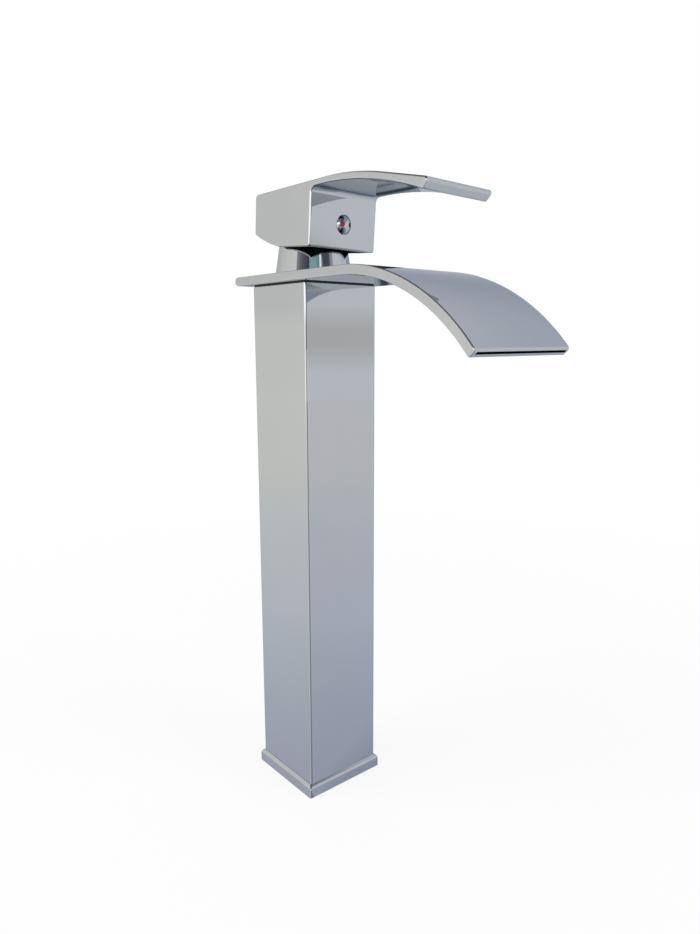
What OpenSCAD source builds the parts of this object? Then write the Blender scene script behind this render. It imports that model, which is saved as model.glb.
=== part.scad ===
// Tall single-lever basin faucet with a square column, an arched waterfall spout and a
// square lever head. The origin is the middle of the foot on the deck, +X runs out along
// the spout, +Y is the cold side and +Z is up. Sizes are in millimetres.

/* [Column] */
// Width of the square column
column_w = 45; // [44.6:0.1:52]
// Height of the column's top above the deck
column_h = 270.7; // [200:0.1:320]
// Wall of the column tube
column_wall = 2.5; // [1.5:0.1:2.6]
// Rounding of the column's upright edges
column_edge_r = 0.8; // [0.3:0.1:2]

/* [Foot] */
// How far the foot flange stands out past the column
flange_rim = 1.75; // [1.2:0.05:6]
// Height of the foot flange
flange_h = 6.75; // [5:0.05:12]
// Height of the sloping top edge of the flange
flange_bevel_h = 1.35; // [0.4:0.05:2.5]
// How far the flange narrows from its bottom to its sloping edge
flange_draft = 0.4; // [0:0.05:0.6]
// Thickness of the flange under the column
flange_ledge = 2; // [1.8:0.1:3]
// Width of the deck gasket
gasket_w = 1.6; // [1:0.1:2]
// Depth of the deck gasket
gasket_d = 1.2; // [0.6:0.1:1.4]
// Height of the foot plug inside the column
foot_h = 16; // [10:0.5:30]
// Minor radius of the thread for the hollow mounting shank
shank_thread_r = 13.2; // [8:0.1:16]

/* [Spout] */
// How far the plate stands out past each side of the column
plate_side = 7.3; // [5:0.1:14]
// How far the plate stands out behind the column
plate_back = 6.3; // [4:0.1:14]
// Thickness of the hollow plate
plate_t = 4.4; // [3.8:0.1:7]
// Wall above and below the water channel
plate_wall = 1.25; // [0.8:0.05:1.5]
// Wall at each side of the water channel
channel_side_wall = 3; // [1.5:0.1:5]
// Length of the flat part, from the column's axis to the start of the arch
flat_len = 58; // [40:0.5:90]
// Radius of the arch over the top of the plate
arch_r = 100.3; // [70:0.1:160]
// Angle that the arch turns down
arch_sweep = 50.2; // [20:0.1:65]
// Rounding of the plate's corners, seen from above
plate_corner_r = 2.5; // [1:0.1:6]
// Bevel of the lip's edges at the outlet
lip_bevel = 0.5; // [0.2:0.05:0.7]

/* [Valve body] */
// Height of the valve body
valve_h = 42; // [36:0.5:80]
// Depth of the cartridge seat below the column's top
seat_depth = 16.7; // [15:0.1:22]
// Minor radius of the two inlet threads
inlet_thread_r = 4.46; // [3:0.02:5]
// Depth of the inlet threads
inlet_depth = 12; // [6:0.5:14]
// Half the distance between the two inlets
inlet_y = 6.5; // [5.4:0.1:7.5]
// Radius of the passages that cross the valve body
passage_r = 2.1; // [1:0.1:2.3]

/* [Cartridge] */
// Radius of the cartridge's foot
cartridge_r = 17.4; // [16.6:0.1:17.5]
// Radius of the cartridge's neck
neck_r = 14.4; // [14.1:0.1:15]
// Thickness of the cartridge's base
base_t = 4.5; // [3.5:0.1:5]
// Radius of the fixed ceramic disc
fixed_disc_r = 14.2; // [13:0.1:14.4]
// Thickness of the fixed ceramic disc
fixed_disc_t = 3.5; // [2.4:0.1:3.6]
// Radius of the moving ceramic disc
moving_disc_r = 9.7; // [9.2:0.1:9.8]
// Thickness of the moving ceramic disc
moving_disc_t = 4; // [3:0.1:4.5]
// Radius of the rotor that the lever turns
rotor_r = 12.6; // [12.4:0.1:12.6]
// Height of the lever's pivot above the column's top
pivot_h = 13.3; // [12.8:0.1:13.8]
// Length of the stem from its pivot down to its ball
stem_arm = 12.5; // [11.5:0.1:12.8]
// Width of the square stem
stem_w = 7; // [5:0.1:7.2]
// Radius of the stem's ball end
stem_ball_r = 3; // [2.4:0.1:3]
// Radius of the stem's pin
stem_pin_r = 1.5; // [1:0.1:1.8]

/* [Bonnet] */
// Radius of the bonnet where it meets the plate
bonnet_r = 19.5; // [19.4:0.1:20]
// Height of the bonnet's straight side
bonnet_side_h = 9.5; // [8:0.1:10]
// Lean of the bonnet's side
bonnet_lean = 6; // [2:0.5:7]
// Radius of the bonnet's round shoulder
bonnet_shoulder_r = 9; // [8:0.1:9.4]
// Wall of the bonnet
bonnet_wall = 1.5; // [1:0.1:1.6]
// Radius of the hole in the bonnet's top
bonnet_hole_r = 10.5; // [10:0.1:11]

/* [Lever head] */
// Width of the lever
lever_w = 42.8; // [42.4:0.1:50]
// Front of the head, from the column's axis
head_front = 22; // [21.8:0.1:26]
// Back of the head, from the column's axis
head_back = 21.4; // [21.2:0.1:26]
// Bottom of the head above the pivot
head_bottom = 4.3; // [3.8:0.1:6]
// Wall of the hollow head
head_wall = 2.2; // [1.4:0.1:2.3]
// Height of the hollow above the pivot
hollow_h = 26; // [25:0.1:27]
// Rise of the curved relief at the back of the head
relief_h = 6.4; // [3:0.1:9]
// Radius of the curved relief
relief_r = 72; // [40:1:120]

/* [Lever blade] */
// Reach of the blade's tip from the column's axis
blade_reach = 94.2; // [70:0.1:120]
// Distance of the blade's highest line from the column's axis
crest_x = 45.7; // [38:0.1:55]
// Height of the blade's highest line above the pivot
crest_h = 35.1; // [33.5:0.1:40]
// Radius of the top behind its highest line
crest_back_r = 390; // [330:1:900]
// Radius of the top in front of its highest line
crest_front_r = 190; // [150:1:400]
// Thickness of the blade at its highest line
blade_t = 3.1; // [2.4:0.1:5]
// Radius of the blade's underside
under_r = 189; // [150:1:400]
// Distance of the underside's highest line from the column's axis
under_x = 41; // [34:0.1:50]
// Rounding between the head's front and the underside
root_fillet_r = 2.6; // [1:0.1:5]
// Undercut of the blade's end face, from square
tip_undercut = 50; // [0:1:60]
// Rounding of the blade's corners, seen from above
tip_corner_r = 2.5; // [0.5:0.1:8]

/* [Index button] */
// Radius of the button on the head's front
button_r = 4.8; // [4:0.1:6]
// How far the button stands out
button_rise = 2; // [1:0.1:2.6]
// Height of the button's axis above the pivot
button_h = 16.2; // [15.6:0.1:17]
// Radius of the hot and cold dots
mark_r = 1.4; // [0.6:0.1:1.8]
// Distance of each dot from the button's axis
mark_y = 2.6; // [2:0.1:2.8]

/* [Resting place] */
// Turn of the lever away from the spout, towards cold
rest_turn = 3; // [-45:0.5:45]
// Droop of the closed lever
rest_droop = 4.2; // [0:0.1:5]
// How far the lever lifts to open
lift_angle = 25; // [15:0.5:25]

/* [Hidden] */

// Facets of a full turn: of small rounds and of the long arcs
$fn = 96;
arc_fn = 720;
// Extra length that a cut runs past a face
cut_over = 1;
// Gap of a slip fit, of a running fit and of a loose inner space
slip_gap = 0.05;
run_gap = 0.1;
loose_gap = 0.3;

// Column and foot
column_in = column_w - 2 * column_wall;
column_in_r = 1;
plug_w = column_in - 2 * slip_gap;
flange_w = column_w + 2 * flange_rim;
flange_top_gap = 0.25;
gasket_mid = (flange_w + column_in) / 2;

// Spout
plate_w = column_w + 2 * plate_side;
plate_rear = column_w / 2 + plate_back;
plate_top = column_h + plate_t;
channel_w = plate_w - 2 * channel_side_wall;
reach = flat_len + arch_r * sin(arch_sweep);

// Retaining nut and its thread
nut_thread_r = 18.3;
nut_in_r = neck_r + loose_gap;
nut_cap_r = 17.2;
nut_step = 0.6;
nut_h = 6;
nut_slots = 6;
nut_slot_w = 3;
nut_slot_d = 2;
plate_hole_r = nut_thread_r + run_gap;
collar_r = plate_hole_r + plate_wall;

// Valve body
bore_r = cartridge_r + run_gap;
seat_z = column_h - seat_depth;
valve_z = column_h - valve_h;
inlet_x = 2.5;
outlet_x = -6.5;
port_r = 2.4;
riser_wall = 2.2;
riser_at = plug_w / 2 - riser_wall - passage_r;
gallery_drop = 7;
gallery_z = seat_z - gallery_drop;
gallery_step = 0.3;
gallery_r = passage_r - gallery_step;
peg_r = 1.4;
peg_h = 2.4;
peg_x = -3;
peg_y = 13.2;

// Cartridge, from its seat upwards
base_top = seat_z + base_t;
disc_recess = 1.5;
fixed_z = base_top - disc_recess;
fixed_top = fixed_z + fixed_disc_t;
moving_z = fixed_top + run_gap;
carrier_z = moving_z + moving_disc_t;
carrier_foot_h = 1;
carrier_w = 16;
skirt_h = 3.5;
shoulder_z = base_top + skirt_h;
seal_r = 4;
seal_t = 1.2;
oring_r = 0.8;
oring_up = 2.2;
oring_z = base_top + oring_up;
skirt_in_r = fixed_disc_r + loose_gap;
skirt_in_h = fixed_top + loose_gap - base_top;
housing_in_r = rotor_r + loose_gap;
pivot_z = column_h + pivot_h;
ball_z = pivot_z - stem_arm;
ball_x = -stem_arm * sin(rest_droop);
disc_travel = stem_arm * (sin(lift_angle - rest_droop) + sin(rest_droop));
disc_x = -disc_travel / 2;
disc_rim = 1.2;
disc_land = 0.5;
hollow_depth_share = 0.6;
rotor_over_pivot = 4;
rotor_top = pivot_z + rotor_over_pivot;
ring_t = 0.4;
lip_r = 9.2;
lip_t = 1.2;
housing_top = rotor_top + ring_t + lip_t + 2 * run_gap;
housing_chamfer = 2.2;
rotor_low = carrier_z + carrier_foot_h + loose_gap;
carrier_over_ball = 2.6;
carrier_top = ball_z + carrier_over_ball;
rotor_roof = carrier_top + loose_gap;
slot_x = 7.4;
barrel_r = 4.1;
barrel_w = 8.2;
stem_top = 24;
pin_l = 22;
arm_top_r = 2.6;
arm_low_r = 1.9;

// Bonnet
shoulder_r = bonnet_r - bonnet_side_h * tan(bonnet_lean);
dome_x = shoulder_r - bonnet_shoulder_r * cos(bonnet_lean);
dome_y = bonnet_side_h - bonnet_shoulder_r * sin(bonnet_lean);
bonnet_thread_r = nut_cap_r + slip_gap;
bonnet_thread_h = 5;
bonnet_seal_w = 1;
bonnet_seal_t = 0.8;
bonnet_seal_r = (bonnet_thread_r + bonnet_r) / 2;

// Lever
boss_r = 6.5;
boss_bottom = 13;
tunnel_r = 3.8;
screw_r = 2.4;
screw_l = 8;
screw_socket_r = 1.45;
screw_socket_d = 3;
hollow_corner_r = 2;
relief_x = -1.3;
relief_low = [relief_x, head_bottom];
relief_high = [-head_back, head_bottom + relief_h];
relief_mid = (relief_low + relief_high) / 2;
relief_half = norm(relief_high - relief_low) / 2;
relief_normal = [relief_high.y - relief_low.y, relief_low.x - relief_high.x] / (2 * relief_half);
relief_centre = relief_mid + sqrt(relief_r ^ 2 - relief_half ^ 2) * relief_normal;
under_z = crest_h - blade_t - under_r;
fillet_x = head_front + root_fillet_r;
fillet_z = under_z + sqrt((under_r - root_fillet_r) ^ 2 - (fillet_x - under_x) ^ 2);
tip_edge = 0.4;
tip_z = crest_h - crest_front_r + sqrt(crest_front_r ^ 2 - (blade_reach - crest_x) ^ 2);

// Index button
button_seat_d = 0.8;
button_seat_r = button_r + slip_gap;
button_shank_l = 5;
dome_r = (button_r ^ 2 + button_rise ^ 2) / (2 * button_rise);
mark_start = 0.3;

// A square with round corners
module rounded_square(w, r) {
    rounded_rect(w, w, r);
}

// A rectangle with round corners, centred on the origin
module rounded_rect(w, d, r) {
    square([w, d - 2 * r], center = true);
    square([w - 2 * r, d], center = true);
    for (sx = [-1, 1], sy = [-1, 1])
        translate([sx * (w / 2 - r), sy * (d / 2 - r)]) circle(r);
}

// A shape drawn in x and z, made as wide as asked across y
module across(w) {
    rotate([90, 0, 0]) linear_extrude(w, center = true) children();
}

// A round bar or hole that runs along x, from x = 0
module along_x(r, l) {
    rotate([0, 90, 0]) cylinder(r = r, h = l);
}

// A straight passage between two points of one height
module gallery(from, to, r) {
    run = to - from;
    translate(from) rotate([0, 0, atan2(run.y, run.x)]) along_x(r, norm(run));
}

// A band of an arc that starts upright and turns down towards +x
module arch_band(r_out, r_in, sweep) {
    far = r_out + cut_over;
    intersection() {
        difference() {
            circle(r_out, $fn = arc_fn);
            circle(r_in, $fn = arc_fn);
        }
        polygon([
            [0, 0], [0, far], [far * tan(sweep / 2), far], [far * sin(sweep), far * cos(sweep)]
        ]);
    }
}

// What turns with the lever
module turned() {
    rotate([0, 0, rest_turn]) children();
}

// What tilts with the lever, drawn level with its pivot as origin
module tilted() {
    turned() translate([0, 0, pivot_z]) rotate([0, rest_droop, 0]) children();
}

// Square tube of the column, standing on the ledge in the flange
module column_shell() {
    color("silver")
    translate([0, 0, flange_ledge])
    difference() {
        linear_extrude(column_h - flange_ledge) rounded_square(column_w, column_edge_r);
        translate([0, 0, -cut_over])
            linear_extrude(column_h + cut_over) rounded_square(column_in, column_in_r);
    }
}

// Flange round the column's foot, with drafted sides and a sloping top edge
module flange_section() {
    half = flange_w / 2;
    face_h = flange_h - flange_bevel_h;
    top_half = column_w / 2 + flange_top_gap;
    polygon([
        [-half, 0], [half, 0], [half - flange_draft, face_h], [top_half, flange_h],
        [-top_half, flange_h], [-half + flange_draft, face_h]
    ]);
}

module base_flange() {
    color("silver")
    difference() {
        intersection() {
            across(flange_w) flange_section();
            rotate([0, 0, 90]) across(flange_w) flange_section();
        }
        translate([0, 0, flange_ledge])
            linear_extrude(flange_h) rounded_square(column_w, column_edge_r);
        translate([0, 0, -cut_over])
            linear_extrude(flange_h) rounded_square(column_in, column_in_r);
        gasket_ring(gasket_d + cut_over, -cut_over);
    }
}

// Square ring of the deck gasket, or of its groove
module gasket_ring(h, z) {
    translate([0, 0, z])
    linear_extrude(h)
    difference() {
        square(gasket_mid + gasket_w, center = true);
        square(gasket_mid - gasket_w, center = true);
    }
}

module base_gasket() {
    color("dimgray") gasket_ring(gasket_d, 0);
}

// Brass plug in the foot, tapped for the hollow mounting shank
module foot_plug() {
    color("goldenrod")
    difference() {
        linear_extrude(foot_h) rounded_square(plug_w, column_in_r);
        translate([0, 0, -cut_over]) cylinder(r = shank_thread_r, h = foot_h + 2 * cut_over);
    }
}

// What a bevel takes off a corner at the origin, with the shape to its left and above
module bevel_cut(size) {
    polygon([[-size - cut_over, -cut_over], [cut_over, size + cut_over], [cut_over, -cut_over]]);
}

// Side view of the plate: round back edge, flat part, arch and bevelled lip
module plate_side_view() {
    in_r = arch_r - plate_t;
    translate([-plate_rear + plate_t / 2, plate_t / 2]) circle(d = plate_t);
    translate([-plate_rear + plate_t / 2, 0])
        square([plate_rear - plate_t / 2 + flat_len, plate_t]);
    translate([flat_len, plate_t - arch_r])
    difference() {
        arch_band(arch_r, in_r, arch_sweep);
        rotate(-arch_sweep) {
            translate([0, in_r]) bevel_cut(lip_bevel);
            translate([0, arch_r]) mirror([0, 1]) bevel_cut(lip_bevel);
        }
    }
}

// Side view of the water channel, which runs out through the lip
module channel_side_view() {
    start = riser_at + passage_r + plate_wall;
    translate([-start, plate_wall]) square([start + flat_len, plate_t - 2 * plate_wall]);
    translate([flat_len, plate_t - arch_r])
        arch_band(arch_r - plate_wall, arch_r - plate_t + plate_wall, arch_sweep + cut_over);
}

// Hollow waterfall plate, open round the cartridge and along its lip
module waterfall_spout() {
    length = reach + plate_rear + 2 * cut_over;
    color("silver")
    translate([0, 0, column_h])
    difference() {
        intersection() {
            across(plate_w + 2 * cut_over) plate_side_view();
            translate([(reach - plate_rear) / 2, 0, plate_t - arch_r])
                linear_extrude(arch_r + cut_over) rounded_rect(length, plate_w, plate_corner_r);
        }
        difference() {
            across(channel_w) channel_side_view();
            translate([0, 0, -cut_over]) cylinder(r = collar_r, h = plate_t + 2 * cut_over);
        }
        translate([0, 0, -cut_over]) cylinder(r = plate_hole_r, h = plate_t + 2 * cut_over);
        for (side = [-1, 1])
            translate([-riser_at, side * riser_at, -cut_over])
                cylinder(r = passage_r, h = plate_wall + 2 * cut_over);
    }
}

// Brass body with the cartridge seat, two inlets, and the ways to the spout
module valve_body() {
    mouth_h = column_h - shoulder_z;
    color("goldenrod")
    difference() {
        translate([0, 0, valve_z]) linear_extrude(valve_h) rounded_square(plug_w, column_in_r);
        translate([0, 0, seat_z]) cylinder(r = bore_r, h = seat_depth + cut_over);
        translate([0, 0, shoulder_z])
            cylinder(r = nut_thread_r + slip_gap, h = mouth_h + cut_over);
        for (side = [-1, 1]) {
            translate([inlet_x, side * inlet_y, valve_z - cut_over])
                cylinder(r = inlet_thread_r, h = inlet_depth + cut_over);
            translate([inlet_x, side * inlet_y, valve_z]) cylinder(r = port_r, h = valve_h);
            translate([peg_x, side * peg_y, seat_z - peg_h - loose_gap])
                cylinder(r = peg_r + run_gap, h = peg_h + cut_over);
            gallery([outlet_x, 0, gallery_z], [-riser_at, side * riser_at, gallery_z], gallery_r);
            translate([-riser_at, side * riser_at, gallery_z - passage_r])
                cylinder(r = passage_r, h = valve_h);
        }
        translate([outlet_x, 0, gallery_z - port_r]) cylinder(r = port_r, h = valve_h);
    }
}

// The three ports of the cartridge: two inlets at the front, one outlet behind
module at_ports() {
    for (side = [-1, 1]) translate([inlet_x, side * inlet_y]) children();
    translate([outlet_x, 0]) children();
}

module cartridge_base() {
    color("gainsboro")
    translate([0, 0, seat_z]) {
        difference() {
            cylinder(r = cartridge_r, h = base_t);
            translate([0, 0, base_t - disc_recess])
                cylinder(r = fixed_disc_r + slip_gap, h = disc_recess + cut_over);
            at_ports() translate([0, 0, -cut_over]) cylinder(r = port_r, h = base_t + cut_over);
            at_ports() translate([0, 0, -cut_over])
                cylinder(r = seal_r + slip_gap, h = seal_t + cut_over);
        }
        for (side = [-1, 1])
            translate([peg_x, side * peg_y, -peg_h]) cylinder(r = peg_r, h = peg_h);
    }
}

module port_seals() {
    color("dimgray")
    translate([0, 0, seat_z])
    at_ports() difference() {
        cylinder(r = seal_r, h = seal_t);
        translate([0, 0, -cut_over]) cylinder(r = port_r, h = seal_t + 2 * cut_over);
    }
}

module fixed_disc() {
    color("white")
    translate([0, 0, fixed_z])
    difference() {
        cylinder(r = fixed_disc_r, h = fixed_disc_t);
        at_ports() translate([0, 0, -cut_over])
            cylinder(r = port_r, h = fixed_disc_t + 2 * cut_over);
    }
}

// Half section of the cartridge housing, drawn in radius and height above the base
module housing_section() {
    top = housing_top - base_top;
    neck = shoulder_z - base_top;
    roof = top - lip_t;
    polygon([
        [skirt_in_r, 0], [cartridge_r, 0], [cartridge_r, neck], [neck_r, neck],
        [neck_r, top - housing_chamfer], [neck_r - housing_chamfer, top], [lip_r, top],
        [lip_r, roof], [housing_in_r, roof], [housing_in_r, skirt_in_h], [skirt_in_r, skirt_in_h]
    ]);
}

module cartridge_housing() {
    color("ghostwhite")
    difference() {
        translate([0, 0, base_top]) rotate_extrude() housing_section();
        oring_groove();
    }
}

module oring_groove() {
    depth = 2 * oring_r;
    translate([0, 0, oring_z - oring_r - slip_gap])
    rotate_extrude()
        translate([bore_r - depth - slip_gap, 0])
            square([depth + cut_over, 2 * (oring_r + slip_gap)]);
}

module housing_oring() {
    color("dimgray")
    translate([0, 0, oring_z])
        rotate_extrude() translate([bore_r - oring_r - slip_gap / 2, 0]) circle(oring_r - slip_gap / 2);
}

// Thin slip ring between the rotor and the housing's lip
module glide_ring() {
    color("ivory")
    translate([0, 0, rotor_top + run_gap])
    difference() {
        cylinder(r = housing_in_r - slip_gap, h = ring_t);
        translate([0, 0, -cut_over]) cylinder(r = lip_r + loose_gap, h = ring_t + 2 * cut_over);
    }
}

// Ring nut that holds the cartridge down, slotted on top for its key
module retaining_nut() {
    step_z = plate_top - nut_step;
    top_z = plate_top + nut_h;
    color("goldenrod")
    difference() {
        union() {
            translate([0, 0, shoulder_z]) cylinder(r = nut_thread_r, h = step_z - shoulder_z);
            translate([0, 0, step_z]) cylinder(r = nut_cap_r, h = top_z - step_z);
        }
        translate([0, 0, shoulder_z - cut_over])
            cylinder(r = nut_in_r, h = top_z - shoulder_z + 2 * cut_over);
        for (i = [0 : nut_slots - 1])
            rotate([0, 0, i * 360 / nut_slots])
                translate([0, -nut_slot_w / 2, top_z - nut_slot_d])
                    cube([nut_cap_r + cut_over, nut_slot_w, nut_slot_d + cut_over]);
    }
}

// Half section of the bonnet: leaning side and round shoulder, grown or shrunk by a wall
module bonnet_half(inset) {
    lean = bonnet_side_h * tan(bonnet_lean);
    polygon([
        [0, 0], [bonnet_r - inset, 0], [bonnet_r - lean - inset, bonnet_side_h],
        [dome_x, bonnet_side_h], [0, bonnet_side_h]
    ]);
    translate([dome_x, dome_y]) intersection() {
        circle(bonnet_shoulder_r - inset);
        translate([-dome_x, 0]) square([bonnet_r, bonnet_r]);
    }
    square([dome_x, dome_y + bonnet_shoulder_r - inset]);
}

module bonnet() {
    color("silver")
    translate([0, 0, plate_top])
    rotate_extrude()
    difference() {
        bonnet_half(0);
        difference() {
            bonnet_half(bonnet_wall);
            translate([bonnet_thread_r, 0]) square([bonnet_r, bonnet_thread_h]);
        }
        translate([0, -cut_over]) square([bonnet_thread_r, bonnet_thread_h]);
        square([bonnet_hole_r, bonnet_r * 2]);
        translate([bonnet_seal_r - bonnet_seal_w / 2, -cut_over])
            square([bonnet_seal_w, bonnet_seal_t + cut_over]);
    }
}

module bonnet_seal() {
    color("dimgray")
    translate([0, 0, plate_top])
    rotate_extrude()
        translate([bonnet_seal_r - bonnet_seal_w / 2, 0]) square([bonnet_seal_w, bonnet_seal_t]);
}

// Rotor: cheeks below hold the disc carrier, a slot above lets the stem swing
module rotor() {
    color("ivory")
    turned()
    difference() {
        translate([0, 0, rotor_low]) cylinder(r = rotor_r, h = rotor_top - rotor_low);
        translate([-rotor_r, -carrier_w / 2 - run_gap, rotor_low - cut_over])
            cube([2 * rotor_r, carrier_w + 2 * run_gap, rotor_roof - rotor_low + cut_over]);
        translate([-slot_x, -barrel_w / 2 - run_gap, rotor_low])
            cube([2 * slot_x, barrel_w + 2 * run_gap, rotor_top - rotor_low + cut_over]);
        translate([0, 0, pivot_z]) rotate([90, 0, 0])
            cylinder(r = stem_pin_r + slip_gap / 2, h = pin_l + slip_gap, center = true);
    }
}

module stem_pin() {
    color("lightgray")
    turned() translate([0, 0, pivot_z]) rotate([90, 0, 0])
        cylinder(r = stem_pin_r, h = pin_l, center = true);
}

// Moving disc. The hollow in its underside joins the outlet to the inlets once it has slid.
module moving_disc() {
    hollow_d = moving_disc_t * hollow_depth_share;
    front = inlet_x - port_r - disc_land - disc_x;
    color("whitesmoke")
    turned() translate([disc_x, 0, moving_z])
    difference() {
        cylinder(r = moving_disc_r, h = moving_disc_t);
        translate([0, 0, -cut_over]) linear_extrude(hollow_d + cut_over) intersection() {
            circle(moving_disc_r - disc_rim);
            translate([front - 2 * moving_disc_r, -moving_disc_r]) square(2 * moving_disc_r);
        }
    }
}

// Carrier on the moving disc, with flats between the rotor's cheeks and a slot for the ball
module disc_carrier() {
    color("gainsboro")
    turned() translate([disc_x, 0, carrier_z])
    difference() {
        union() {
            cylinder(r = moving_disc_r, h = carrier_foot_h);
            intersection() {
                cylinder(r = moving_disc_r, h = carrier_top - carrier_z);
                translate([-moving_disc_r, -carrier_w / 2, 0])
                    cube([2 * moving_disc_r, carrier_w, carrier_top - carrier_z]);
            }
        }
        translate([
            ball_x - disc_x - stem_ball_r - 2 * run_gap, -stem_ball_r - 2 * run_gap,
            ball_z - stem_ball_r - loose_gap - carrier_z
        ])
            cube([2 * stem_ball_r + 4 * run_gap, 2 * stem_ball_r + 4 * run_gap, stem_arm]);
    }
}

// Stem: square bar up into the lever, barrel on the pin, arm and ball below
module stem() {
    color("darkgoldenrod")
    tilted()
    difference() {
        union() {
            rotate([90, 0, 0]) cylinder(r = barrel_r, h = barrel_w, center = true);
            translate([-stem_w / 2, -stem_w / 2, 0]) cube([stem_w, stem_w, stem_top]);
            translate([0, 0, -stem_arm])
                cylinder(r1 = arm_low_r, r2 = arm_top_r, h = stem_arm);
            translate([0, 0, -stem_arm]) sphere(stem_ball_r);
        }
        rotate([90, 0, 0])
            cylinder(r = stem_pin_r + slip_gap, h = barrel_w + 2 * cut_over, center = true);
    }
}

// What lies under the curved top of the lever, in side view
module under_top() {
    intersection() {
        translate([crest_x, crest_h - crest_back_r]) circle(crest_back_r, $fn = arc_fn);
        translate([-head_back - cut_over, 0]) square([head_back + cut_over + crest_x, crest_h]);
    }
    intersection() {
        translate([crest_x, crest_h - crest_front_r]) circle(crest_front_r, $fn = arc_fn);
        translate([crest_x, 0]) square([blade_reach + cut_over - crest_x, crest_h]);
    }
}

// Side view of the square head with its relief behind
module head_side_view() {
    intersection() {
        under_top();
        translate([-head_back - cut_over, head_bottom])
            square([head_back + cut_over + head_front, crest_h]);
        union() {
            translate(relief_centre) circle(relief_r, $fn = arc_fn);
            translate([relief_centre.x, 0]) square([head_front + head_back, crest_h]);
        }
    }
}

// Side view of the blade, between its two arcs and cut off under its end
module blade_side_view() {
    difference() {
        intersection() {
            under_top();
            translate([head_front / 2, button_h]) square([blade_reach, crest_h]);
        }
        intersection() {
            translate([under_x, under_z]) circle(under_r, $fn = arc_fn);
            translate([head_front, 0]) square([blade_reach, crest_h]);
        }
        translate([blade_reach, tip_z - tip_edge]) rotate(-tip_undercut)
            translate([0, -crest_h]) square([crest_h, 2 * crest_h]);
    }
    difference() {
        translate([head_front, fillet_z]) square(root_fillet_r);
        translate([fillet_x, fillet_z]) circle(root_fillet_r);
    }
}

// Lever head and blade in one casting, hollow below, with the stem's boss inside
module lever_handle() {
    length = blade_reach + head_back;
    inside_l = head_front + head_back - 2 * head_wall;
    color("silver")
    tilted()
    difference() {
        union() {
            intersection() {
                difference() {
                    across(lever_w + 2 * cut_over) {
                        head_side_view();
                        blade_side_view();
                    }
                    translate([(head_front - head_back) / 2, 0, 0])
                        linear_extrude(hollow_h)
                            rounded_rect(inside_l, lever_w - 2 * head_wall, hollow_corner_r);
                }
                translate([blade_reach - length / 2, 0, 0])
                    linear_extrude(crest_h + cut_over)
                        rounded_rect(length, lever_w, tip_corner_r);
            }
            translate([0, 0, boss_bottom]) cylinder(r = boss_r, h = hollow_h - boss_bottom);
            translate([0, 0, button_h]) along_x(tunnel_r, head_front - head_wall / 2);
        }
        translate([-stem_w / 2 - slip_gap, -stem_w / 2 - slip_gap, 0])
            cube([stem_w + 2 * slip_gap, stem_w + 2 * slip_gap, stem_top + loose_gap]);
        translate([0, 0, button_h]) along_x(screw_r + slip_gap, head_front + cut_over);
        translate([head_front - button_seat_d, 0, button_h]) along_x(button_seat_r, cut_over);
    }
}

module set_screw() {
    start = stem_w / 2 + slip_gap;
    color("dimgray")
    tilted()
    translate([start, 0, button_h])
    difference() {
        along_x(screw_r, screw_l);
        translate([screw_l - screw_socket_d, 0, 0])
            rotate([0, 90, 0]) cylinder(r = screw_socket_r, h = screw_socket_d + cut_over, $fn = 6);
    }
}

// Round dome of the button, standing on the head's front
module button_dome() {
    rotate([0, 90, 0]) rotate_extrude() intersection() {
        translate([0, button_rise - dome_r]) circle(dome_r);
        square([dome_r, button_rise]);
    }
}

module at_button() {
    tilted() translate([head_front, 0, button_h]) children();
}

module mark_hole(side, gap) {
    translate([mark_start, side * mark_y, 0]) along_x(mark_r + gap, button_rise);
}

module index_button() {
    color("silver")
    at_button()
    difference() {
        union() {
            button_dome();
            translate([-button_seat_d, 0, 0]) along_x(button_r, button_seat_d);
            translate([-button_shank_l, 0, 0]) along_x(screw_r, button_shank_l);
        }
        mark_hole(-1, slip_gap);
        mark_hole(1, slip_gap);
    }
}

module mark(side) {
    at_button() intersection() {
        button_dome();
        mark_hole(side, 0);
    }
}

module hot_mark() {
    color("red") mark(-1);
}

module cold_mark() {
    color("navy") mark(1);
}

column_shell();
base_flange();
base_gasket();
foot_plug();
waterfall_spout();
valve_body();
cartridge_base();
port_seals();
fixed_disc();
cartridge_housing();
housing_oring();
glide_ring();
retaining_nut();
bonnet();
bonnet_seal();
rotor();
stem_pin();
moving_disc();
disc_carrier();
stem();
lever_handle();
set_screw();
index_button();
hot_mark();
cold_mark();
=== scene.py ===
# %% [markdown]
# # A tall waterfall basin faucet
#
# The object is a square chrome column on a flanged foot. A hollow arched plate carries the
# water out over the basin, and a square lever on top opens and mixes it. The exact solids
# come packed as a frame with its moving bodies. This lesson dresses them: the chrome shells
# that show are modelled again with soft edges, and the inner works get their own finishes.

# %% Load the frame
import math

import bmesh
import bpy
from mathutils import Matrix, Vector


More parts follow.
